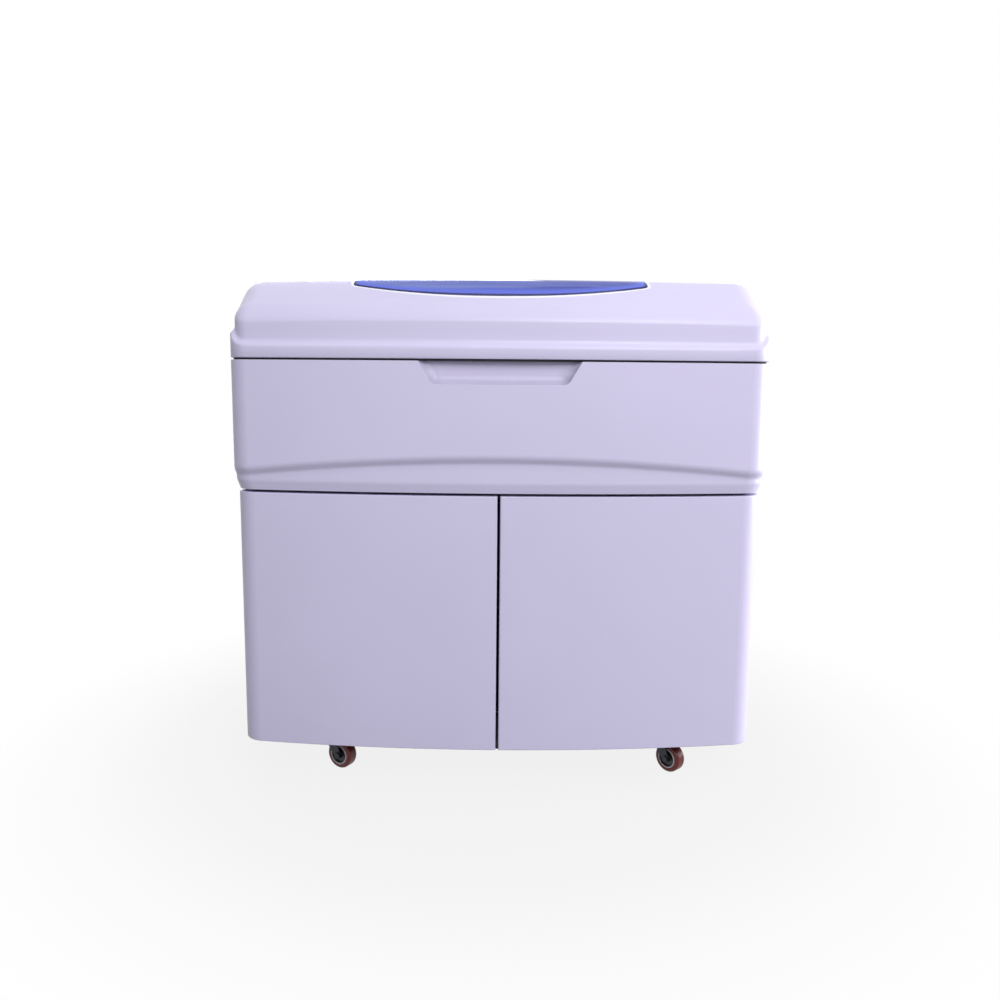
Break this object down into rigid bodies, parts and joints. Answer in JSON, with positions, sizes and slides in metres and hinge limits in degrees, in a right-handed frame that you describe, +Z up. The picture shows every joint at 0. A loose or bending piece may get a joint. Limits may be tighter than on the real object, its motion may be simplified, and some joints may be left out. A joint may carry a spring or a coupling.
{
  "type": "chemistry analyzer",
  "caption": "Floor-standing clinical chemistry analyzer with a lift-up windowed lid, bowed double doors and swivel casters.",
  "frame": {"origin": "on the floor under the middle of the machine's overall box", "axes": "+X to the right seen from the front, +Y to the rear, +Z up; the doors face -Y"},
  "size_m": [1.13, 0.74, 1.092],
  "materials": {
    "casing_plastic": "smooth painted moulding, pale lilac white",
    "blue_window": "clear blue acrylic",
    "panel_paint": "fine powder coat",
    "frame_paint": "grey powder coat",
    "worktop_paint": "light grey paint",
    "bright_steel": "brushed",
    "caster_steel": "black coated pressed steel",
    "wheel_centre": "moulded, pale grey",
    "red_tread": "moulded tread, red",
    "machined_aluminium": "fine turned",
    "dark_disk": "black anodised",
    "clear_plastic": "clear moulded",
    "store_plastic": "satin",
    "store_cover": "satin blue",
    "rotor_plastic": "satin",
    "bottle_plastic": "milky",
    "column_paint": "satin paint",
    "arm_cover": "smooth moulded",
    "instrument_black": "fine grain",
    "tank_plastic": "translucent blow-moulded",
    "pump_paint": "enamel",
    "box_metal": "zinc plated sheet",
    "switch_plastic": "smooth, red"
  },
  "bodies": {
    "casing": {"main_frame": "frame_paint", "floor_pan": "frame_paint", "caster_plates": "caster_steel", "left_side_panel": "panel_paint", "right_side_panel": "panel_paint", "rear_panel": "panel_paint", "upper_cover": "casing_plastic", "worktop": "worktop_paint", "door_hinge_brackets": "bright_steel", "lid_hinge_brackets": "bright_steel", "reaction_bath": "machined_aluminium", "reagent_tub": "store_plastic", "reagent_cover": "store_cover", "sample_tub": "store_plastic", "arm_columns": "column_paint", "wash_column": "column_paint", "wash_wells": "bottle_plastic", "photometer": "instrument_black", "shelf": "frame_paint", "water_tank": "tank_plastic", "waste_tank": "tank_plastic", "pump": "pump_paint", "power_supply": "box_metal", "control_box": "box_metal", "mains_inlet": "instrument_black", "fan_frame": "instrument_black", "fan_guard": "caster_steel", "fluid_ports": "bottle_plastic"},
    "left_door": {"left_door": "casing_plastic"},
    "right_door": {"right_door": "casing_plastic"},
    "lid": {"lid_shell": "casing_plastic", "lid_window": "blue_window", "lid_hinge_arms": "bright_steel"},
    "reaction_disk": {"reaction_disk": "dark_disk", "cuvettes": "clear_plastic"},
    "reagent_rotor": {"reagent_rotor": "store_plastic", "reagent_bottles": "bottle_plastic"},
    "sample_rotor": {"sample_rotor": "rotor_plastic", "sample_tubes": "clear_plastic"},
    "sample_carriage": {"sample_carriage": "machined_aluminium"},
    "sample_arm": {"sample_arm": "arm_cover", "sample_needle": "bright_steel"},
    "reagent_carriage": {"reagent_carriage": "machined_aluminium"},
    "reagent_arm": {"reagent_arm": "arm_cover", "reagent_needle": "bright_steel"},
    "wash_head": {"wash_head": "arm_cover"},
    "rocker_switch": {"rocker_switch": "switch_plastic"},
    "fan_rotor": {"fan_rotor": "instrument_black"},
    "front_left_caster": {"front_left_caster_fork": "caster_steel"},
    "front_left_wheel": {"front_left_caster_hub": "wheel_centre", "front_left_caster_tyre": "red_tread"},
    "front_right_caster": {"front_right_caster_fork": "caster_steel"},
    "front_right_wheel": {"front_right_caster_hub": "wheel_centre", "front_right_caster_tyre": "red_tread"},
    "rear_left_caster": {"rear_left_caster_fork": "caster_steel"},
    "rear_left_wheel": {"rear_left_caster_hub": "wheel_centre", "rear_left_caster_tyre": "red_tread"},
    "rear_right_caster": {"rear_right_caster_fork": "caster_steel"},
    "rear_right_wheel": {"rear_right_caster_hub": "wheel_centre", "rear_right_caster_tyre": "red_tread"}
  },
  "joints": [
    {"name": "left_door_hinge", "type": "hinge", "parent": "casing", "child": "left_door", "pos_m": [-0.541, -0.26197, 0.361], "axis": [0, 0, -1], "range_deg": [0, 100]},
    {"name": "right_door_hinge", "type": "hinge", "parent": "casing", "child": "right_door", "pos_m": [0.541, -0.26197, 0.361], "axis": [0, 0, 1], "range_deg": [0, 100]},
    {"name": "lid_hinge", "type": "hinge", "parent": "casing", "child": "lid", "pos_m": [0, 0.361, 0.916], "axis": [-1, 0, 0], "range_deg": [0, 60]},
    {"name": "reaction_disk_spin", "type": "hinge", "parent": "casing", "child": "reaction_disk", "pos_m": [0, 0.09, 0.88], "axis": [0, 0, 1], "continuous": true},
    {"name": "reagent_rotor_spin", "type": "hinge", "parent": "casing", "child": "reagent_rotor", "pos_m": [0.33, -0.04, 0.85], "axis": [0, 0, 1], "continuous": true},
    {"name": "sample_rotor_spin", "type": "hinge", "parent": "casing", "child": "sample_rotor", "pos_m": [-0.345, -0.09, 0.87], "axis": [0, 0, 1], "continuous": true},
    {"name": "sample_lift", "type": "slide", "parent": "casing", "child": "sample_carriage", "axis": [0, 0, -1], "range_m": [0, 0.045]},
    {"name": "sample_swing", "type": "hinge", "parent": "sample_carriage", "child": "sample_arm", "pos_m": [-0.165, -0.085, 0.99], "axis": [0, 0, 1], "range_deg": [-56.73, 145.08]},
    {"name": "reagent_lift", "type": "slide", "parent": "casing", "child": "reagent_carriage", "axis": [0, 0, -1], "range_m": [0, 0.045]},
    {"name": "reagent_swing", "type": "hinge", "parent": "reagent_carriage", "child": "reagent_arm", "pos_m": [0.165, -0.085, 0.99], "axis": [0, 0, -1], "range_deg": [-72.14, 145.08]},
    {"name": "wash_lift", "type": "slide", "parent": "casing", "child": "wash_head", "axis": [0, 0, -1], "range_m": [0, 0.03]},
    {"name": "rocker_tip", "type": "hinge", "parent": "casing", "child": "rocker_switch", "pos_m": [0.37, 0.3452, 0.18], "axis": [-1, 0, 0], "range_deg": [0, 16]},
    {"name": "fan_spin", "type": "hinge", "parent": "casing", "child": "fan_rotor", "pos_m": [0.33, 0.3357, 0.47], "axis": [0, 1, 0], "continuous": true},
    {"name": "front_left_swivel", "type": "hinge", "parent": "casing", "child": "front_left_caster", "pos_m": [-0.375, -0.24, 0.078], "axis": [0, 0, 1], "continuous": true},
    {"name": "front_left_roll", "type": "hinge", "parent": "front_left_caster", "child": "front_left_wheel", "pos_m": [-0.35075, -0.254, 0.032], "axis": [0.5, 0.866, 0], "continuous": true},
    {"name": "front_right_swivel", "type": "hinge", "parent": "casing", "child": "front_right_caster", "pos_m": [0.375, -0.24, 0.078], "axis": [0, 0, 1], "continuous": true},
    {"name": "front_right_roll", "type": "hinge", "parent": "front_right_caster", "child": "front_right_wheel", "pos_m": [0.39374, -0.26081, 0.032], "axis": [0.7431, 0.6691, 0], "continuous": true},
    {"name": "rear_left_swivel", "type": "hinge", "parent": "casing", "child": "rear_left_caster", "pos_m": [-0.375, 0.25, 0.078], "axis": [0, 0, 1], "continuous": true},
    {"name": "rear_left_roll", "type": "hinge", "parent": "rear_left_caster", "child": "rear_left_wheel", "pos_m": [-0.36775, 0.22295, 0.032], "axis": [0.9659, 0.2588, 0], "continuous": true},
    {"name": "rear_right_swivel", "type": "hinge", "parent": "casing", "child": "rear_right_caster", "pos_m": [0.375, 0.25, 0.078], "axis": [0, 0, 1], "continuous": true},
    {"name": "rear_right_roll", "type": "hinge", "parent": "rear_right_caster", "child": "rear_right_wheel", "pos_m": [0.36542, 0.22369, 0.032], "axis": [0.9397, -0.342, 0], "continuous": true}
  ]
}
